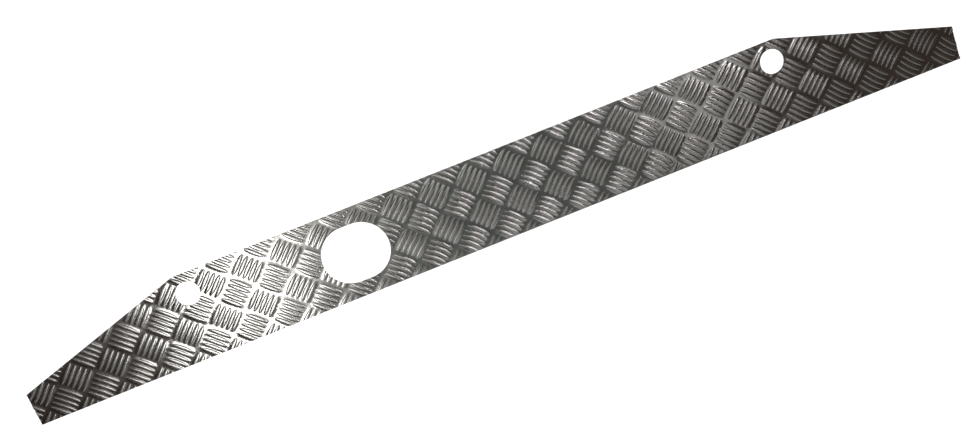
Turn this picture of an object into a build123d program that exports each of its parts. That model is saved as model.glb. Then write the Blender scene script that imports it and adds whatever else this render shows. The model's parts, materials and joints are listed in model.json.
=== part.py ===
"""Kick plate cut from five-bar aluminium tread sheet, with foam tape strips on its back.

Frame, in millimetres: the origin is at the middle of the plate's length and width, on the plane of the
tapes' sticky faces. +X runs along the straight lower edge, +Y towards the edge with tapered ends, and
+Z out of the tread face.
"""

import os
from math import atan2, degrees, sqrt

from build123d import *

# Outline of the plate
plate_length = 1036.0
plate_width = 94.0
end_height = 36.0  # of the two short ends
taper_length = 186.0  # along X, from a short end to the bend in the upper edge
sheet_thickness = 2.0  # between the bars

# Holes through the sheet
round_hole_radius = 12.5
round_hole_x = 324.0  # either side of the middle
round_hole_y = 25.0
slot_length = 72.0
slot_width = 60.0
slot_x = -150.0
slot_y = -0.5

# Tread pattern: groups of five bars, leaning right and left by turns
pitch_x = 41.25  # between groups that lean the same way
pitch_y = 39.93
first_group_x = -0.25 * pitch_x  # centre of one group that leans right
first_group_y = -13.7
bars_in_group = 5
bar_spacing = 5.5

# One bar: a pointed oval with sloping flanks and a crowned top
bar_length = 25.5
bar_width = 4.4
bar_height = 0.7
crown_width = 2.4  # where the crowned top meets the flanks, at mid-length
crown_edge = 0.64  # height of the same edge
bar_root = 0.6  # how far each bar's solid goes down into the sheet

# Foam tape on the back
tape_thickness = 0.8
tape_width = 12.0
tape_inset = 2.0  # from the sheet's edge
lower_tape_length = 1020.0
upper_tape_length = 604.0
taper_tape_length = 170.0
taper_tape_start = 8.0  # from the short end, along the taper

half_length = plate_length / 2
half_width = plate_width / 2
tip = bar_length / 2
sheet_back = tape_thickness
sheet_face = sheet_back + sheet_thickness
lean = degrees(atan2(pitch_y, pitch_x))
taper_rise = plate_width - end_height
taper_angle = degrees(atan2(taper_rise, taper_length))


def group_places(x0, y0, angle):
    """Every bar of the groups that lean by `angle`, one of which is centred on x0, y0."""
    columns = round(half_length / pitch_x) + 1
    rows = round(half_width / pitch_y) + 1
    places = []
    for column in range(-columns, columns + 1):
        for row in range(-rows, rows + 1):
            group = Vector(x0 + column * pitch_x, y0 + row * pitch_y, sheet_face)
            for bar in range(bars_in_group):
                along = (bar - (bars_in_group - 1) / 2) * bar_spacing
                centre = group + Vector(along, 0, 0).rotate(Axis.Z, -angle)
                if abs(centre.X) < half_length + tip and abs(centre.Y) < half_width + tip:
                    places.append(Location(tuple(centre), (0, 0, angle)))
    return places


# One bar, lying along X with the sheet's face at Z = 0. Each of its three faces is part of a sphere, and
# all three spheres pass through the two tips.
crown_drop = (tip**2 - bar_height**2) / (2 * bar_height)
flank_offset = (tip**2 - bar_width**2 / 4) / bar_width
flank_drop = (tip**2 - crown_width**2 / 4 - crown_width * flank_offset - crown_edge**2) / (2 * crown_edge)
flank_radius = sqrt(tip**2 + flank_offset**2 + flank_drop**2)

with BuildPart() as tread_bar:
    with Locations((0, 0, -bar_root)):
        Box(
            bar_length + 2,
            bar_width + 2,
            bar_root + 2 * bar_height,
            align=(Align.CENTER, Align.CENTER, Align.MIN),
        )
    with Locations((0, 0, -crown_drop)):
        Sphere(crown_drop + bar_height, mode=Mode.INTERSECT)
    for side in (-1, 1):
        with Locations((0, side * flank_offset, -flank_drop)):
            Sphere(flank_radius, mode=Mode.INTERSECT)

# The rolled stock: flat sheet with the bars standing on its face, a little larger than the plate
with BuildPart() as stock:
    with Locations((0, 0, sheet_back)):
        Box(
            plate_length + 20,
            plate_width + 20,
            sheet_thickness,
            align=(Align.CENTER, Align.CENTER, Align.MIN),
        )
    bar_places = group_places(first_group_x, first_group_y, lean)
    bar_places += group_places(first_group_x + pitch_x / 2, first_group_y - pitch_y / 2, -lean)
    with Locations(*bar_places):
        add(tread_bar.part)

# The cut: outline and holes, as a prism taller than the stock
with BuildPart() as cut:
    with BuildSketch(Plane.XY):
        with BuildLine():
            Polyline(
                (-half_length, -half_width),
                (half_length, -half_width),
                (half_length, -half_width + end_height),
                (half_length - taper_length, half_width),
                (-half_length + taper_length, half_width),
                (-half_length, -half_width + end_height),
                close=True,
            )
        make_face()
        with Locations((slot_x, slot_y)):
            SlotOverall(slot_length, slot_width, mode=Mode.SUBTRACT)
        with Locations((-round_hole_x, round_hole_y), (round_hole_x, round_hole_y)):
            Circle(round_hole_radius, mode=Mode.SUBTRACT)
    extrude(amount=sheet_face + 2 * bar_height)

with BuildPart() as tread_sheet:
    add(stock.part)
    add(cut.part, mode=Mode.INTERSECT)

# Foam tape strips, from the fixing surface up to the back of the sheet
tape_line = half_width - tape_inset - tape_width / 2

with BuildPart() as tape_lower:
    with BuildSketch(Plane.XY):
        with Locations((0, -tape_line)):
            Rectangle(lower_tape_length, tape_width)
    extrude(amount=tape_thickness)

with BuildPart() as tape_upper:
    with BuildSketch(Plane.XY):
        with Locations((0, tape_line)):
            Rectangle(upper_tape_length, tape_width)
    extrude(amount=tape_thickness)

# The taper strips are drawn on a plane whose X axis runs up the left-hand tapered edge
left_taper = Plane(
    origin=(-half_length, -half_width + end_height, 0),
    x_dir=(taper_length, taper_rise, 0),
    z_dir=(0, 0, 1),
)

with BuildPart() as tape_left_taper:
    with BuildSketch(left_taper):
        with Locations((taper_tape_start, -tape_inset)):
            Rectangle(taper_tape_length, tape_width, align=(Align.MIN, Align.MAX))
    extrude(amount=tape_thickness)

with BuildPart() as tape_right_taper:
    add(tape_left_taper.part.mirror(Plane.YZ))

tread_sheet.part.label = "tread_sheet"
tape_lower.part.label = "tape_lower"
tape_upper.part.label = "tape_upper"
tape_left_taper.part.label = "tape_left_taper"
tape_right_taper.part.label = "tape_right_taper"

os.makedirs("parts", exist_ok=True)
export_step(tread_sheet.part, "parts/tread_sheet.step", write_pcurves=False)
export_step(tape_lower.part, "parts/tape_lower.step")
export_step(tape_upper.part, "parts/tape_upper.step")
export_step(tape_left_taper.part, "parts/tape_left_taper.step")
export_step(tape_right_taper.part, "parts/tape_right_taper.step")
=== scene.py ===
"""Kick plate of five-bar aluminium tread sheet, lying on a pale floor under soft studio light.

Everything is in metres, in the frame of the CAD model: +X along the plate, +Y towards the edge with the
tapered ends, +Z out of the tread face, with the tapes' sticky faces at Z = 0 and the floor just below them.
"""

import json
from math import atan2, cos, pi, radians, sin, tan

import bmesh
import bpy
import numpy as np
from mathutils import Matrix, Vector, geometry


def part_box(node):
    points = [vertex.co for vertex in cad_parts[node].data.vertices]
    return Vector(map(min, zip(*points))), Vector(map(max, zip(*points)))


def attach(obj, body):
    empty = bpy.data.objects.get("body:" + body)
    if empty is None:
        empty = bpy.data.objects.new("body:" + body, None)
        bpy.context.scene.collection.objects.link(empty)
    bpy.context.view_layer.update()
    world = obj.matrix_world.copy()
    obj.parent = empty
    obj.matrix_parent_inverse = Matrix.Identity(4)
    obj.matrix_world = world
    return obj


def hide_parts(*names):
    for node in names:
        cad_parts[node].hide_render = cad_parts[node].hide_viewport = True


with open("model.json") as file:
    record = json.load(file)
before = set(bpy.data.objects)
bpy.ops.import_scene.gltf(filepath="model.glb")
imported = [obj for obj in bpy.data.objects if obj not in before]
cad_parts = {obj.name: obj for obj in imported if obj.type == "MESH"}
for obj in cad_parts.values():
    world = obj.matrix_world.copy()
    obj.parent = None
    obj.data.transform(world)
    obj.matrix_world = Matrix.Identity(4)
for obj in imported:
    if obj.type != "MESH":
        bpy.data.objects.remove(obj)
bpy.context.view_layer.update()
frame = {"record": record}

MM = 0.001
SEED = 41

# The sheet, from its CAD node and mounts
sheet_low, sheet_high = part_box("tread_sheet")
mounts = {mount["name"]: mount for mount in frame["record"]["mounts"]}
SHEET_THICKNESS = 2.0 * MM  # between the bars
SHEET_BACK = sheet_low[2]
SHEET_FACE = SHEET_BACK + SHEET_THICKNESS
END_HEIGHT = 36 * MM
TAPER_LENGTH = 186 * MM
SLOT_RADIUS = 30 * MM
SLOT_STRAIGHT = 12 * MM
HOLE_STEPS = 96  # spans round a round hole
SLOT_END_STEPS = 80  # spans round each end of the slot
RIM = 0.16 * MM  # width of the deburred edge
RIM_DEPTH = 0.25 * MM
SHEET_SHARP = radians(38)  # edges that bend more than this are shaded sharp

# The tread pattern
PITCH_X, PITCH_Y = 41.25 * MM, 39.93 * MM
GROUP_X, GROUP_Y = -PITCH_X / 4, -13.7 * MM  # centre of one group that leans right
BARS_IN_GROUP = 5
BAR_SPACING = 5.5 * MM
LEAN = atan2(PITCH_Y, PITCH_X)

# One bar
BAR_HALF_LENGTH = 12.75 * MM
BAR_HALF_WIDTH = 2.2 * MM
BAR_HEIGHT = 0.7 * MM
TALLEST_BAR = 0.975  # share of BAR_HEIGHT that the tallest bar reaches
BAR_VARIATION = 0.05  # how much of BAR_HEIGHT the lowest bar lacks against the tallest
LENS_POWER = 1.5  # plan shape: 1 is an ellipse, 2 comes to sharp tips
RISE_POWER = 0.6  # how fast the crest rises from the tips
FLANK_POWER = 3.5  # how steeply the crowned top falls away
FILLET_START = 0.9  # share of the half width where the flank turns into the fillet at its foot
FILLET_VALUE = 1 - FILLET_START**FLANK_POWER
FILLET_SLOPE = FLANK_POWER * FILLET_START ** (FLANK_POWER - 1)
FILLET_END = FILLET_START + 2 * FILLET_VALUE / FILLET_SLOPE

# The mesh of the tread
RINGS = (FILLET_END, 1.0, FILLET_START, 0.76, 0.62, 0.48, 0.3)  # rows of points, in half widths
TIP_PULL = 0.11  # share of the half length by which a ring of no width would miss the tips
STATIONS = 11  # spans along a bar
CREST_REACH = 0.86  # share of the half length that the points on the crest cover
BASE_SPACING = 4.2 * MM  # of the points in the flat between groups
UNEVEN = 0.002 * MM
MERGE_DISTANCE = 1e-8

# Colours, roughness and relief of the aluminium
FILM_COLOUR = (0.70, 0.70, 0.685, 1)
BASE_COLOUR = (0.82, 0.815, 0.80, 1)
FLANK_COLOUR = (0.84, 0.835, 0.825, 1)
CREST_COLOUR = (0.92, 0.915, 0.905, 1)
NOISE_SPAN = (0.3, 0.7)  # most values of a noise texture lie between these
FILM_SPAN = (0.35, 0.7)
RAISED_SPAN = (0.0, 0.35)  # in bar heights, where the base gives way to the bar
CREST_SPAN = (0.55, 0.98)  # where the bar's flank gives way to its top
CLOUD_SCALE = 38
MOTTLE_SCALE = 420
WAVE_SCALE = 62
GRAIN_SCALE = (60, 2600, 2600)
BASE_ROUGHNESS = (0.10, 0.15)
MOTTLE_ROUGHNESS = 0.03
BAR_ROUGHNESS = 0.11  # added on the bars
WAVE_DEPTH, WAVE_STRENGTH = 0.08 * MM, 1.0
DIMPLE_DEPTH, DIMPLE_STRENGTH = 0.008 * MM, 0.2
GRAIN_DEPTH, GRAIN_STRENGTH = 0.004 * MM, 0.25

# Foam tape
TAPE_WIDTH = 12 * MM
TAPE_STEP = 6 * MM
TAPE_WANDER = 0.2 * MM
TAPE_SMOOTHING = 9  # points averaged in the line that its sides wander along
TAPE_BULGE = 0.156 * MM
# How far its sides bulge, at shares of the thickness from the sticky face up to the sheet
TAPE_SECTION = ((0.0, 0.0), (0.12 * MM, 0.2), (TAPE_BULGE, 0.5), (0.12 * MM, 0.8), (0.0, 1.0))
TAPE_INSET = 2 * MM
TAPE_START = 8 * MM
TAPER_TAPE_LENGTH = 170 * MM
TAPE_SHARP = radians(40)
FOAM_DARK = (0.035, 0.035, 0.038, 1)
FOAM_PALE = (0.06, 0.06, 0.063, 1)
FOAM_CELL_SCALE = 2600
FOAM_CLOUD_SCALE = 90
FOAM_CELL_DEPTH, FOAM_CELL_STRENGTH = 0.08 * MM, 0.5
FOAM_CELL_REACH = 0.7  # roughly the Voronoi distance at a cell's edge
FOAM_ROUGHNESS = (0.95, 0.78)  # at the middle of a cell and at its edge

# The floor and the camera
FLOOR_Z = -0.2 * MM
FLOOR_SIZE = 6.0
FLOOR_GLOW = 1.0
FLOOR_DARK = (0.93, 0.93, 0.93, 1)
FLOOR_PALE = (0.96, 0.96, 0.96, 1)
FIBRE_SCALE = 900
CAMERA_LENS = 33.5
CAMERA_PLACE = (-0.0335, 0.1830, 0.9182)
CAMERA_TURNS = (-11.01, -5.62, -21.05)

# The light: a pale backdrop for the camera, a dim room that changes along X for the metal, and lamps
BACKDROP = (0.92, 0.92, 0.92, 1)
WORLD_STOPS = (
    (0.00, (0.020, 0.018, 0.017)),
    (0.26, (0.024, 0.018, 0.015)),
    (0.34, (0.075, 0.064, 0.058)),
    (0.41, (0.150, 0.146, 0.139)),
    (0.46, (0.122, 0.126, 0.119)),
    (0.49, (0.098, 0.104, 0.098)),
    (0.53, (0.073, 0.080, 0.075)),
    (0.62, (0.075, 0.072, 0.068)),
    (0.72, (0.036, 0.026, 0.021)),
    (1.00, (0.035, 0.030, 0.027)),
)
LAMP_HEIGHT = 1.0
# name: low X, high X, low Y, high Y at the lamps' height, strength, colour
SOFTBOXES = {
    "window": (-0.62, -0.46, -0.37, 0.05, 3.2, (1.0, 0.985, 0.96)),
    "window_side": (-0.56, -0.34, -0.32, 0.14, 0.45, (1.0, 0.95, 0.90)),
    "window_spill": (-0.44, -0.22, -0.34, 0.12, 0.10, (1.0, 0.985, 0.96)),
    "window_high": (-1.10, -0.80, 0.08, 0.48, 0.7, (1.0, 0.94, 0.89)),
    "window_low": (-1.12, -0.84, -1.00, -0.56, 0.4, (1.0, 0.94, 0.89)),
    "top_strip": (-0.28, 0.10, -0.03, 0.33, 0.45, (0.98, 1.0, 0.97)),
    "low_strip": (-0.25, 0.45, -0.72, -0.38, 0.26, (0.98, 1.0, 0.97)),
    "right_patch": (0.40, 0.66, -0.32, 0.14, 0.20, (1.0, 0.99, 0.98)),
}
STRIP_PLACE = (0.50, 0.16, LAMP_HEIGHT)
STRIP_AIM = (-0.10, 0.0, 0.0)
STRIP_SIZE = (0.40, 0.12)
STRIP_SPREAD = radians(52)
STRIP_STRENGTH = 10.0
STRIP_COLOUR = (1.0, 0.95, 0.965)
PANEL_DISTANCE = 2.4
PANEL_HEIGHT = 0.85
PANEL_SIZE = (2.2, 1.1)
PANEL_STRENGTH = 0.2


# ---------------------------------------------------------------- meshes


def mesh_object(name, vertices, faces):
    mesh = bpy.data.meshes.new(name)
    mesh.from_pydata(vertices, [], faces)
    mesh.validate()
    obj = bpy.data.objects.new(name, mesh)
    bpy.context.scene.collection.objects.link(obj)
    return obj


def recalculate_normals(obj):
    bm = bmesh.new()
    bm.from_mesh(obj.data)
    bmesh.ops.recalc_face_normals(bm, faces=bm.faces)
    bm.to_mesh(obj.data)
    bm.free()


def shade(obj, sharp):
    """Smooth shading, except at edges that bend more than the angle `sharp`."""
    obj.data.shade_smooth()
    obj.data.set_sharp_from_angle(angle=sharp)


def apply_modifiers(obj):
    depsgraph = bpy.context.evaluated_depsgraph_get()
    mesh = bpy.data.meshes.new_from_object(obj.evaluated_get(depsgraph))
    obj.modifiers.clear()
    obj.data = mesh


def arc(centre, radius, start, end, steps):
    """Points on an arc about centre, from one angle to another."""
    angles = np.linspace(start, end, steps + 1)
    return [(centre[0] + radius * cos(a), centre[1] + radius * sin(a)) for a in angles]


def inset_polygon(points, inset):
    """The same anticlockwise polygon with every side moved inwards."""
    moved = []
    count = len(points)
    for i, point in enumerate(points):
        before = Vector(point) - Vector(points[i - 1])
        after = Vector(points[(i + 1) % count]) - Vector(point)
        n0 = Vector((-before.y, before.x)).normalized()
        n1 = Vector((-after.y, after.x)).normalized()
        moved.append(tuple(Vector(point) + (n0 + n1) * inset / (1 + n0.dot(n1))))
    return moved


# ---------------------------------------------------------------- the sheet


def plate_loops(inset):
    """The plate's outline and holes, pulled back from the metal's edge by inset."""
    left, bottom = sheet_low[0], sheet_low[1]
    right, top = sheet_high[0], sheet_high[1]
    outline = [
        (left, bottom),
        (right, bottom),
        (right, bottom + END_HEIGHT),
        (right - TAPER_LENGTH, top),
        (left + TAPER_LENGTH, top),
        (left, bottom + END_HEIGHT),
    ]
    loops = [inset_polygon(outline, inset)]
    for name in ("left_hole", "right_hole"):
        radius = mounts[name]["dims"]["r_mm"] * MM + inset
        loops.append(arc(mounts[name]["pos_m"], radius, 0, 2 * pi, HOLE_STEPS)[:-1])
    x, y = mounts["slot"]["pos_m"][:2]
    radius = SLOT_RADIUS + inset
    slot = arc((x + SLOT_STRAIGHT / 2, y), radius, -pi / 2, pi / 2, SLOT_END_STEPS)
    slot += arc((x - SLOT_STRAIGHT / 2, y), radius, pi / 2, 3 * pi / 2, SLOT_END_STEPS)
    loops.append(slot)
    return loops


def cutting_prism():
    """The space that the finished plate may fill, with deburred rims at its back and its face."""
    levels = (
        (SHEET_BACK, RIM),
        (SHEET_BACK + RIM_DEPTH, 0.0),
        (SHEET_FACE - RIM_DEPTH, 0.0),
        (SHEET_FACE, RIM),
        (SHEET_FACE + 2 * BAR_HEIGHT, RIM),
    )
    vertices, faces, starts = [], [], []
    for z, inset in levels:
        loops = plate_loops(inset)
        starts.append([])
        for loop in loops:
            starts[-1].append(len(vertices))
            vertices += [(x, y, z) for x, y in loop]
    sizes = [len(loop) for loop in loops]
    for low, high in zip(starts, starts[1:]):
        for a, b, size in zip(low, high, sizes):
            for i in range(size):
                j = (i + 1) % size
                faces.append((a + i, a + j, b + j, b + i))
    # The same triangles close both ends, because every level has its points in the same order
    flat = [[Vector((x, y, 0)) for x, y in loop] for loop in loops]
    for triangle in geometry.tessellate_polygon(flat):
        faces.append(tuple(triangle))
        faces.append(tuple(starts[-1][0] + i for i in triangle))
    prism = mesh_object("cutting_prism", vertices, faces)
    recalculate_normals(prism)
    return prism


def bar_height(x, y):
    """Height of the bar's surface as a share of its greatest height: a crowned top and filleted flanks."""
    along = min(1.0, abs(x) / BAR_HALF_LENGTH)
    width = BAR_HALF_WIDTH * (1 - along**2) ** (LENS_POWER / 2)
    across = abs(y) / width if width > 0 else FILLET_END
    if across < FILLET_START:
        crown = 1 - across**FLANK_POWER
    else:
        crown = FILLET_VALUE * (max(0.0, FILLET_END - across) / (FILLET_END - FILLET_START)) ** 2
    return crown * (1 - along**2) ** RISE_POWER


def bar_points():
    """One bar along X: its points, the constraint edges between them, and each point's share of height."""
    points, edges, heights = [], [], []
    for ring in RINGS:
        half_length = BAR_HALF_LENGTH * (1 - TIP_PULL + TIP_PULL * ring)
        start = len(points)
        turns = np.linspace(0, pi, STATIONS + 1)
        upper = [(half_length * cos(t), ring * BAR_HALF_WIDTH * sin(t) ** LENS_POWER) for t in turns]
        lower = [(x, -y) for x, y in upper[-2:0:-1]]
        loop = upper + lower
        points += loop
        edges += [(start + i, start + (i + 1) % len(loop)) for i in range(len(loop))]
        heights += [bar_height(x, y) for x, y in loop]
    crest = np.linspace(-CREST_REACH, CREST_REACH, STATIONS - 1) * BAR_HALF_LENGTH
    start = len(points)
    points += [(x, 0.0) for x in crest]
    edges += [(start + i, start + i + 1) for i in range(len(crest) - 1)]
    heights += [bar_height(x, 0.0) for x in crest]
    return points, edges, heights


def tread_cell():
    """One repeat of the pattern.

    Gives its points relative to the cell's corner, the height share and bar number of each, and its
    triangles as (point, cell offset in X, cell offset in Y) corners.
    """
    rng = np.random.default_rng(SEED)
    bar, bar_edges, heights = bar_points()
    points, edges, shares, owners = [], [], [], []
    groups = ((0.0, 0.0, LEAN), (PITCH_X / 2, -PITCH_Y / 2, -LEAN))
    for g, (gx, gy, lean) in enumerate(groups):
        c, s = cos(lean), sin(lean)
        for b in range(BARS_IN_GROUP):
            step = (b - (BARS_IN_GROUP - 1) / 2) * BAR_SPACING
            cx, cy = gx + step * c, gy - step * s
            start = len(points)
            points += [(cx + x * c - y * s, cy + x * s + y * c) for x, y in bar]
            edges += [(start + i, start + j) for i, j in bar_edges]
            shares += heights
            owners += [g * BARS_IN_GROUP + b] * len(bar)
    on_bars = np.array(points)
    for x in np.arange(0, PITCH_X, BASE_SPACING):
        for y in np.arange(0, PITCH_Y, BASE_SPACING):
            x, y = (x, y) + rng.uniform(-1, 1, 2) * BASE_SPACING / 6
            gap = on_bars - (x, y)
            gap -= np.round(gap / (PITCH_X, PITCH_Y)) * (PITCH_X, PITCH_Y)
            if np.hypot(gap[:, 0], gap[:, 1]).min() > BASE_SPACING / 3:
                points.append((x, y))
                shares.append(0.0)
                owners.append(-1)
    # A trace of unevenness, the same in every repeat, so that the triangles repeat exactly
    points = [tuple(p) for p in np.array(points) + rng.normal(0, UNEVEN, (len(points), 2))]
    count = len(points)
    # Triangles of a block of repeats, of which those with their middle in one cell are kept
    tiles = [(i, j) for i in range(-2, 3) for j in range(-2, 3)]
    spread, links = [], []
    for n, (i, j) in enumerate(tiles):
        spread += [Vector((x + i * PITCH_X, y + j * PITCH_Y)) for x, y in points]
        links += [(n * count + a, n * count + b) for a, b in edges]
    found, _, faces, origin, _, _ = geometry.delaunay_2d_cdt(spread, links, [], 0, MERGE_DISTANCE)
    triangles = []
    for face in faces:
        middle = sum((found[v] for v in face), Vector((0, 0))) / 3
        if 0 <= middle.x < PITCH_X and 0 <= middle.y < PITCH_Y:
            corners = [origin[v][0] for v in face]
            triangles.append([(c % count, *tiles[c // count]) for c in corners])
    return np.array(points), np.array(shares), np.array(owners), triangles


def rolled_stock():
    """A block of the rolled sheet, larger than the plate, with every bar standing on its face."""
    points, shares, owners, triangles = tread_cell()
    rng = np.random.default_rng(SEED)
    low_x = int(np.floor((sheet_low[0] - GROUP_X) / PITCH_X)) - 1
    high_x = int(np.ceil((sheet_high[0] - GROUP_X) / PITCH_X)) + 1
    low_y = int(np.floor((sheet_low[1] - GROUP_Y) / PITCH_Y)) - 1
    high_y = int(np.ceil((sheet_high[1] - GROUP_Y) / PITCH_Y)) + 1
    vertices, index, faces = [], {}, []
    strength = {}

    def vertex(point, i, j):
        key = (point, i, j)
        if key not in index:
            bar = (owners[point], i, j)
            if bar not in strength:
                strength[bar] = BAR_HEIGHT * (TALLEST_BAR - BAR_VARIATION * rng.random())
            x = GROUP_X + points[point][0] + i * PITCH_X
            y = GROUP_Y + points[point][1] + j * PITCH_Y
            index[key] = len(vertices)
            vertices.append((x, y, SHEET_FACE + shares[point] * strength[bar]))
        return index[key]

    for i in range(low_x, high_x):
        for j in range(low_y, high_y):
            for corners in triangles:
                faces.append(tuple(vertex(p, i + di, j + dj) for p, di, dj in corners))
    stock = mesh_object("tread_sheet_visual", vertices, faces)
    bm = bmesh.new()
    bm.from_mesh(stock.data)
    # Its ragged edge must not touch itself at a point, or the block couldn't be closed
    while pinched := [v for v in bm.verts if sum(edge.is_boundary for edge in v.link_edges) > 2]:
        bmesh.ops.delete(bm, geom=pinched, context="VERTS")
    rim = [edge for edge in bm.edges if edge.is_boundary]
    lowered = bmesh.ops.extrude_edge_only(bm, edges=rim)["geom"]
    for v in lowered:
        if isinstance(v, bmesh.types.BMVert):
            v.co.z = SHEET_BACK - BAR_HEIGHT
    loop = [edge for edge in bm.edges if edge.is_boundary]
    bmesh.ops.edgeloop_fill(bm, edges=loop)
    bmesh.ops.recalc_face_normals(bm, faces=bm.faces)
    bm.to_mesh(stock.data)
    bm.free()
    return stock


def tread_sheet():
    sheet = rolled_stock()
    prism = cutting_prism()
    cut = sheet.modifiers.new("cut", "BOOLEAN")
    cut.operation = "INTERSECT"
    cut.solver = "MANIFOLD"
    cut.object = prism
    apply_modifiers(sheet)
    bpy.data.objects.remove(prism)
    shade(sheet, SHEET_SHARP)
    return sheet


# ---------------------------------------------------------------- the tapes


def foam_strip(name, node, start, end):
    """A strip of foam tape from start to end, centred between them, with soft bulging sides."""
    low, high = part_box(node)
    thickness = high[2] - low[2]
    length = (Vector(end) - Vector(start)).length
    angle = atan2(end[1] - start[1], end[0] - start[0])
    stations = max(8, round(length / TAPE_STEP))
    rng = np.random.default_rng(SEED + len(name))
    wander = rng.normal(0, 1, stations + TAPE_SMOOTHING)
    wander = np.convolve(wander, np.ones(TAPE_SMOOTHING) / TAPE_SMOOTHING, "valid")
    wander *= TAPE_WANDER / abs(wander).max()
    half_width = TAPE_WIDTH / 2 - TAPE_WANDER
    ring = [(half_width - TAPE_BULGE + out, up) for out, up in TAPE_SECTION]
    ring += [(-out, up) for out, up in reversed(ring)]
    vertices, faces = [], []
    for i, shift in enumerate(wander):
        x = length * i / stations
        for out, up in ring:
            y = out + shift
            vertices.append(
                (
                    start[0] + x * cos(angle) - y * sin(angle),
                    start[1] + x * sin(angle) + y * cos(angle),
                    low[2] + up * thickness,
                )
            )
    size = len(ring)
    for i in range(stations):
        for j in range(size):
            k = (j + 1) % size
            faces.append((i * size + j, (i + 1) * size + j, (i + 1) * size + k, i * size + k))
    faces.append(tuple(range(size)))
    faces.append(tuple(range(stations * size, (stations + 1) * size)))
    strip = mesh_object(name, vertices, faces)
    recalculate_normals(strip)
    shade(strip, TAPE_SHARP)
    return strip


def tape_lines():
    """Each tape's CAD node, with the two ends of its middle line."""
    left, bottom = sheet_low[0], sheet_low[1]
    taper = Vector((TAPER_LENGTH, sheet_high[1] - bottom - END_HEIGHT)).normalized()
    inward = Vector((taper.y, -taper.x))
    corner = Vector((left, bottom + END_HEIGHT))
    taper_start = corner + taper * TAPE_START + inward * (TAPE_INSET + TAPE_WIDTH / 2)
    taper_end = taper_start + taper * TAPER_TAPE_LENGTH
    line = sheet_high[1] - TAPE_INSET - TAPE_WIDTH / 2
    upper_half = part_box("tape_upper")[1][0]
    lower_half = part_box("tape_lower")[1][0]
    return (
        ("tape_lower", (-lower_half, -line), (lower_half, -line)),
        ("tape_upper", (-upper_half, line), (upper_half, line)),
        ("tape_left_taper", taper_start, taper_end),
        ("tape_right_taper", (-taper_end.x, taper_end.y), (-taper_start.x, taper_start.y)),
    )


# ---------------------------------------------------------------- materials


class Nodes:
    """A node tree, with a short way to add and link nodes."""

    def __init__(self, tree):
        self.tree = tree

    def put(self, socket, value):
        """Links the socket to another, or gives it a value of its own."""
        if isinstance(value, bpy.types.NodeSocket):
            self.tree.links.new(value, socket)
        else:
            socket.default_value = value

    def add(self, kind, inputs=None, **settings):
        node = self.tree.nodes.new("ShaderNode" + kind)
        for name, value in settings.items():
            setattr(node, name, value)
        for name, value in (inputs or {}).items():
            self.put(node.inputs[name], value)
        return node

    def noise(self, coordinates, scale, detail, roughness=0.5):
        inputs = {"Vector": coordinates, "Scale": scale, "Detail": detail, "Roughness": roughness}
        return self.add("TexNoise", inputs).outputs["Fac"]

    def mapped(self, value, low, high, to_low, to_high, smooth=False):
        inputs = {"Value": value, "From Min": low, "From Max": high, "To Min": to_low, "To Max": to_high}
        kind = "SMOOTHSTEP" if smooth else "LINEAR"
        return self.add("MapRange", inputs, interpolation_type=kind).outputs["Result"]

    def total(self, a, b):
        return self.add("Math", {0: a, 1: b}, operation="ADD").outputs[0]

    def mix(self, share, a, b):
        """A mix of two colours, whose sockets are the seventh and eighth of the node."""
        node = self.add("Mix", {"Factor": share}, data_type="RGBA")
        self.put(node.inputs[6], a)
        self.put(node.inputs[7], b)
        return node.outputs[2]

    def bump(self, height, distance, strength, under=None):
        inputs = {"Strength": strength, "Distance": distance, "Height": height}
        if under:
            inputs["Normal"] = under
        return self.add("Bump", inputs).outputs["Normal"]


def new_material(name):
    material = bpy.data.materials.new(name)
    material.use_nodes = True
    return material, Nodes(material.node_tree), material.node_tree.nodes["Principled BSDF"].inputs


def tread_aluminium():
    material, nodes, shader = new_material("tread_aluminium")
    place = nodes.add("TexCoord").outputs["Object"]
    height = nodes.add("SeparateXYZ", {"Vector": place}).outputs["Z"]
    raised, crest = (
        nodes.mapped(height, SHEET_FACE + low * BAR_HEIGHT, SHEET_FACE + high * BAR_HEIGHT, 0, 1, smooth=True)
        for low, high in (RAISED_SPAN, CREST_SPAN)
    )
    rolled = nodes.add("Mapping", {"Vector": place, "Scale": GRAIN_SCALE}).outputs["Vector"]
    grain = nodes.noise(rolled, 1.0, detail=3, roughness=0.6)
    cloud = nodes.noise(place, CLOUD_SCALE, detail=4, roughness=0.55)
    mottle = nodes.noise(place, MOTTLE_SCALE, detail=3, roughness=0.6)
    # Colour: a faint dull film lies on the base, and the tops of the bars are rubbed bright
    film = nodes.mapped(cloud, *FILM_SPAN, 0, 1)
    base = nodes.mix(film, FILM_COLOUR, BASE_COLOUR)
    flank = nodes.mix(raised, base, FLANK_COLOUR)
    nodes.put(shader["Base Color"], nodes.mix(crest, flank, CREST_COLOUR))
    # Roughness: the mill finish is patchy, and the bars are worn more matt than the base
    patches = nodes.mapped(cloud, *NOISE_SPAN, *BASE_ROUGHNESS)
    patchy = nodes.total(patches, nodes.mapped(mottle, *NOISE_SPAN, 0, MOTTLE_ROUGHNESS))
    nodes.put(shader["Roughness"], nodes.total(patchy, nodes.mapped(raised, 0, 1, 0, BAR_ROUGHNESS)))
    # Relief: long soft waves from the rolls, small dimples and a fine grain along the sheet
    wave = nodes.noise(place, WAVE_SCALE, detail=2, roughness=0.4)
    waves = nodes.bump(wave, WAVE_DEPTH, WAVE_STRENGTH)
    dimples = nodes.bump(mottle, DIMPLE_DEPTH, DIMPLE_STRENGTH, waves)
    nodes.put(shader["Normal"], nodes.bump(grain, GRAIN_DEPTH, GRAIN_STRENGTH, dimples))
    shader["Metallic"].default_value = 1.0
    return material


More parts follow.
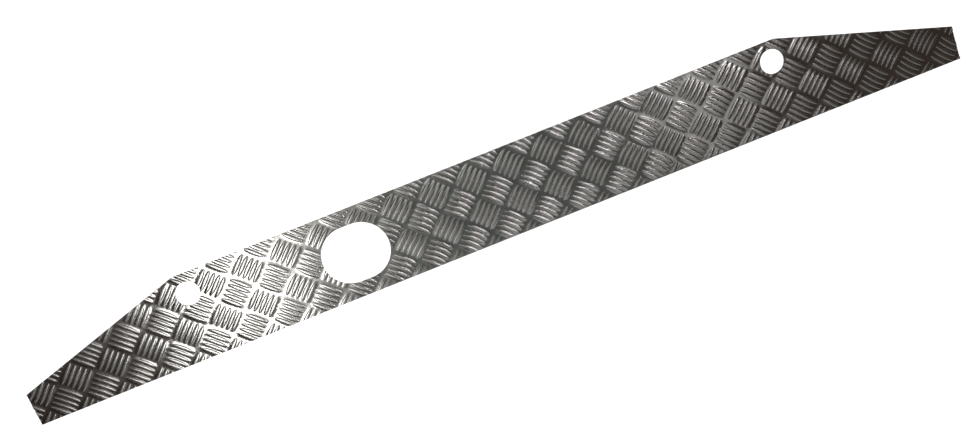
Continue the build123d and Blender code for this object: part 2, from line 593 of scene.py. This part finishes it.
def tape_foam():
    material, nodes, shader = new_material("foam_tape")
    place = nodes.add("TexCoord").outputs["Object"]
    cells = nodes.add("TexVoronoi", {"Vector": place, "Scale": FOAM_CELL_SCALE}).outputs["Distance"]
    cloud = nodes.noise(place, FOAM_CLOUD_SCALE, detail=4)
    dust = nodes.mapped(cloud, *NOISE_SPAN, 0, 1)
    nodes.put(shader["Base Color"], nodes.mix(dust, FOAM_DARK, FOAM_PALE))
    nodes.put(shader["Roughness"], nodes.mapped(cells, 0, FOAM_CELL_REACH, *FOAM_ROUGHNESS))
    nodes.put(shader["Normal"], nodes.bump(cells, FOAM_CELL_DEPTH, FOAM_CELL_STRENGTH))
    return material


# ---------------------------------------------------------------- the stage


def studio_floor():
    """A pale sheet of paper, lit from within enough to read as white."""
    material, nodes, shader = new_material("studio_floor")
    place = nodes.add("TexCoord").outputs["Object"]
    fibre = nodes.noise(place, FIBRE_SCALE, detail=3)
    nodes.put(shader["Base Color"], nodes.mix(fibre, FLOOR_DARK, FLOOR_PALE))
    shader["Roughness"].default_value = 0.9
    shader["Specular IOR Level"].default_value = 0.0
    shader["Emission Color"].default_value = (1, 1, 1, 1)
    shader["Emission Strength"].default_value = FLOOR_GLOW
    corners = ((-1, -1), (1, -1), (1, 1), (-1, 1))
    vertices = [(x * FLOOR_SIZE, y * FLOOR_SIZE, FLOOR_Z) for x, y in corners]
    floor = mesh_object("floor", vertices, [(0, 1, 2, 3)])
    floor.data.materials.append(material)


def area_lamp(name, shape, size, strength, colour):
    """A flat lamp that the camera doesn't see. Its radiance goes with its strength, whatever its size."""
    light = bpy.data.lights.new(name, "AREA")
    light.shape = shape
    light.size, light.size_y = size
    light.energy = pi * strength * light.size * light.size_y
    light.color = colour
    lamp = bpy.data.objects.new(name, light)
    lamp.visible_camera = False
    bpy.context.scene.collection.objects.link(lamp)
    return lamp


def softbox(name, low_x, high_x, low_y, high_y, strength, colour):
    """An oval lamp that faces straight down."""
    lamp = area_lamp(name, "ELLIPSE", (high_x - low_x, high_y - low_y), strength, colour)
    lamp.location = ((low_x + high_x) / 2, (low_y + high_y) / 2, LAMP_HEIGHT)


def strip_lamp():
    """A narrow lamp behind a grid, turned along the bars that lean left and aimed at part of the plate."""
    lamp = area_lamp("strip_lamp", "ELLIPSE", STRIP_SIZE, STRIP_STRENGTH, STRIP_COLOUR)
    lamp.data.spread = STRIP_SPREAD
    # A narrower spread would make the lamp brighter on its axis for the same energy
    half = STRIP_SPREAD / 2
    lamp.data.energy *= (tan(half) - half) / tan(half)
    backwards = (Vector(STRIP_PLACE) - Vector(STRIP_AIM)).normalized()
    across = backwards.cross(Vector((cos(LEAN), -sin(LEAN), 0))).normalized()
    turn = Matrix((across.cross(backwards), across, backwards)).transposed()
    lamp.matrix_world = Matrix.Translation(STRIP_PLACE) @ turn.to_4x4()


def side_panels():
    """Two broad lamps that stand before and behind the plate and face it."""
    for angle in (pi / 2, 3 * pi / 2):
        lamp = area_lamp("side_panel", "RECTANGLE", PANEL_SIZE, PANEL_STRENGTH, (1, 1, 1))
        lamp.location = (PANEL_DISTANCE * cos(angle), PANEL_DISTANCE * sin(angle), PANEL_HEIGHT)
        lamp.rotation_euler = (pi / 2, 0, angle + pi / 2)


def studio_room():
    """The dim room that the metal mirrors. The camera sees a pale backdrop in its place."""
    world = bpy.data.worlds.new("studio")
    world.use_nodes = True
    bpy.context.scene.world = world
    nodes = Nodes(world.node_tree)
    direction = nodes.add("TexCoord").outputs["Generated"]
    across = nodes.add("SeparateXYZ", {"Vector": direction}).outputs["X"]
    ramp = nodes.add("ValToRGB", {"Fac": nodes.mapped(across, -1, 1, 0, 1)})
    stops = ramp.color_ramp.elements
    for position, _ in WORLD_STOPS[1:-1]:
        stops.new(position)
    for stop, (position, colour) in zip(stops, WORLD_STOPS):
        stop.position = position
        stop.color = (*colour, 1)
    seen = nodes.add("LightPath").outputs["Is Camera Ray"]
    background = world.node_tree.nodes["Background"].inputs
    nodes.put(background["Color"], nodes.mix(seen, ramp.outputs["Color"], BACKDROP))
    background["Strength"].default_value = 1.0


def camera():
    data = bpy.data.cameras.new("camera")
    data.sensor_fit = "HORIZONTAL"
    data.sensor_width = 36.0
    data.lens = CAMERA_LENS
    data.clip_start = 0.01
    obj = bpy.data.objects.new("camera", data)
    obj.location = CAMERA_PLACE
    obj.rotation_euler = [radians(turn) for turn in CAMERA_TURNS]
    bpy.context.scene.collection.objects.link(obj)
    bpy.context.scene.camera = obj


# ---------------------------------------------------------------- the scene

camera()
studio_room()
for box_name, settings in SOFTBOXES.items():
    softbox(box_name, *settings)
strip_lamp()
side_panels()
studio_floor()

sheet = tread_sheet()
sheet.data.materials.clear()
sheet.data.materials.append(tread_aluminium())
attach(sheet, "root")
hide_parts("tread_sheet")

foam = tape_foam()
for node, start, end in tape_lines():
    strip = foam_strip(node + "_visual", node, start, end)
    strip.data.materials.append(foam)
    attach(strip, "root")
    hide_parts(node)

bpy.context.scene.view_settings.view_transform = "Standard"
